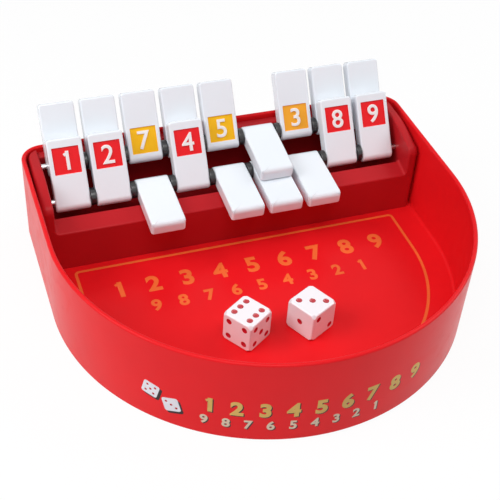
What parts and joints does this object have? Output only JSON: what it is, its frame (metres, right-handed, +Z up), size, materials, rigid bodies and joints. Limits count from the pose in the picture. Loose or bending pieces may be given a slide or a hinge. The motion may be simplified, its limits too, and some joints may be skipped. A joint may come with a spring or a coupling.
{
  "type": "shut the box game",
  "caption": "Dice game in a D-shaped moulded tray: numbered flip-down tiles hinge on steel rods in a raised rack along the back, and dice are rolled on the tray floor.",
  "frame": {"origin": "centre of the tray's underside, on the surface it stands on", "axes": "+X to the player's right, +Y to the back where the tile rack is, +Z up"},
  "size_m": [0.2, 0.1785, 0.0683],
  "materials": {
    "tray_red": "gloss",
    "rack_red": "gloss",
    "tile_white": "gloss",
    "number_red": "gloss",
    "number_yellow": "gloss",
    "die_white": "gloss",
    "pip_red": "gloss",
    "spacer_black": "satin",
    "rod_steel": "satin",
    "screw_steel": "satin",
    "print_orange": "gloss",
    "print_gold": "gloss"
  },
  "bodies": {
    "game_box": {"tray": "tray_red", "tile_rack": "rack_red", "rack_screws": "screw_steel", "front_rod": "rod_steel", "back_rod": "rod_steel", "front_spacers": "spacer_black", "back_spacers": "spacer_black"},
    "front_flap_1": {"front_tile_1": "tile_white"},
    "front_flap_2": {"front_tile_2": "tile_white"},
    "front_flap_3": {"front_tile_3": "tile_white"},
    "front_flap_4": {"front_tile_4": "tile_white"},
    "front_flap_5": {"front_tile_5": "tile_white"},
    "front_flap_6": {"front_tile_6": "tile_white"},
    "front_flap_7": {"front_tile_7": "tile_white"},
    "front_flap_8": {"front_tile_8": "tile_white"},
    "front_flap_9": {"front_tile_9": "tile_white"},
    "back_flap_1": {"back_tile_1": "tile_white"},
    "back_flap_2": {"back_tile_2": "tile_white"},
    "back_flap_3": {"back_tile_3": "tile_white"},
    "back_flap_4": {"back_tile_4": "tile_white"},
    "back_flap_5": {"back_tile_5": "tile_white"},
    "back_flap_6": {"back_tile_6": "tile_white"},
    "back_flap_7": {"back_tile_7": "tile_white"},
    "back_flap_8": {"back_tile_8": "tile_white"},
    "back_flap_9": {"back_tile_9": "tile_white"},
    "die_left": {"die_left": "die_white"},
    "die_right": {"die_right": "die_white"}
  },
  "joints": [
    {"name": "front_hinge_1", "type": "hinge", "parent": "game_box", "child": "front_flap_1", "pos_m": [-0.08, 0.0585, 0.0312], "axis": [1, 0, 0], "range_deg": [0, 127.5]},
    {"name": "front_hinge_2", "type": "hinge", "parent": "game_box", "child": "front_flap_2", "pos_m": [-0.06, 0.0585, 0.0312], "axis": [1, 0, 0], "range_deg": [0, 127.5]},
    {"name": "front_hinge_3", "type": "hinge", "parent": "game_box", "child": "front_flap_3", "pos_m": [-0.04, 0.0585, 0.0312], "axis": [1, 0, 0], "range_deg": [-127.5, 0]},
    {"name": "front_hinge_4", "type": "hinge", "parent": "game_box", "child": "front_flap_4", "pos_m": [-0.02, 0.0585, 0.0312], "axis": [1, 0, 0], "range_deg": [0, 127.5]},
    {"name": "front_hinge_5", "type": "hinge", "parent": "game_box", "child": "front_flap_5", "pos_m": [0, 0.0585, 0.0312], "axis": [1, 0, 0], "range_deg": [-127.5, 0]},
    {"name": "front_hinge_6", "type": "hinge", "parent": "game_box", "child": "front_flap_6", "pos_m": [0.02, 0.0585, 0.0312], "axis": [1, 0, 0], "range_deg": [-127.5, 0]},
    {"name": "front_hinge_7", "type": "hinge", "parent": "game_box", "child": "front_flap_7", "pos_m": [0.04, 0.0585, 0.0312], "axis": [1, 0, 0], "range_deg": [-127.5, 0]},
    {"name": "front_hinge_8", "type": "hinge", "parent": "game_box", "child": "front_flap_8", "pos_m": [0.06, 0.0585, 0.0312], "axis": [1, 0, 0], "range_deg": [0, 127.5]},
    {"name": "front_hinge_9", "type": "hinge", "parent": "game_box", "child": "front_flap_9", "pos_m": [0.08, 0.0585, 0.0312], "axis": [1, 0, 0], "range_deg": [0, 127.5]},
    {"name": "back_hinge_1", "type": "hinge", "parent": "game_box", "child": "back_flap_1", "pos_m": [0.08, 0.074, 0.0415], "axis": [1, 0, 0], "range_deg": [0, 129.86]},
    {"name": "back_hinge_2", "type": "hinge", "parent": "game_box", "child": "back_flap_2", "pos_m": [0.06, 0.074, 0.0415], "axis": [1, 0, 0], "range_deg": [0, 129.86]},
    {"name": "back_hinge_3", "type": "hinge", "parent": "game_box", "child": "back_flap_3", "pos_m": [0.04, 0.074, 0.0415], "axis": [1, 0, 0], "range_deg": [0, 129.86]},
    {"name": "back_hinge_4", "type": "hinge", "parent": "game_box", "child": "back_flap_4", "pos_m": [0.02, 0.074, 0.0415], "axis": [1, 0, 0], "range_deg": [-129.86, 0]},
    {"name": "back_hinge_5", "type": "hinge", "parent": "game_box", "child": "back_flap_5", "pos_m": [0, 0.074, 0.0415], "axis": [1, 0, 0], "range_deg": [0, 129.86]},
    {"name": "back_hinge_6", "type": "hinge", "parent": "game_box", "child": "back_flap_6", "pos_m": [-0.02, 0.074, 0.0415], "axis": [1, 0, 0], "range_deg": [0, 129.86]},
    {"name": "back_hinge_7", "type": "hinge", "parent": "game_box", "child": "back_flap_7", "pos_m": [-0.04, 0.074, 0.0415], "axis": [1, 0, 0], "range_deg": [0, 129.86]},
    {"name": "back_hinge_8", "type": "hinge", "parent": "game_box", "child": "back_flap_8", "pos_m": [-0.06, 0.074, 0.0415], "axis": [1, 0, 0], "range_deg": [0, 129.86]},
    {"name": "back_hinge_9", "type": "hinge", "parent": "game_box", "child": "back_flap_9", "pos_m": [-0.08, 0.074, 0.0415], "axis": [1, 0, 0], "range_deg": [0, 129.86]},
    {"name": "die_left_lift", "type": "slide", "parent": "game_box", "child": "die_left", "axis": [0, 0, 1], "range_m": [0, 0.08]},
    {"name": "die_right_lift", "type": "slide", "parent": "game_box", "child": "die_right", "axis": [0, 0, 1], "range_m": [0, 0.08]}
  ],
  "couplings": [
    {"joint": "back_hinge_1", "follows": "front_hinge_9", "ratio": 1.0185},
    {"joint": "back_hinge_2", "follows": "front_hinge_8", "ratio": 1.0185},
    {"joint": "back_hinge_4", "follows": "front_hinge_6", "ratio": 1.0185},
    {"joint": "back_hinge_6", "follows": "front_hinge_4", "ratio": 1.0185},
    {"joint": "back_hinge_8", "follows": "front_hinge_2", "ratio": 1.0185},
    {"joint": "back_hinge_9", "follows": "front_hinge_1", "ratio": 1.0185}
  ]
}
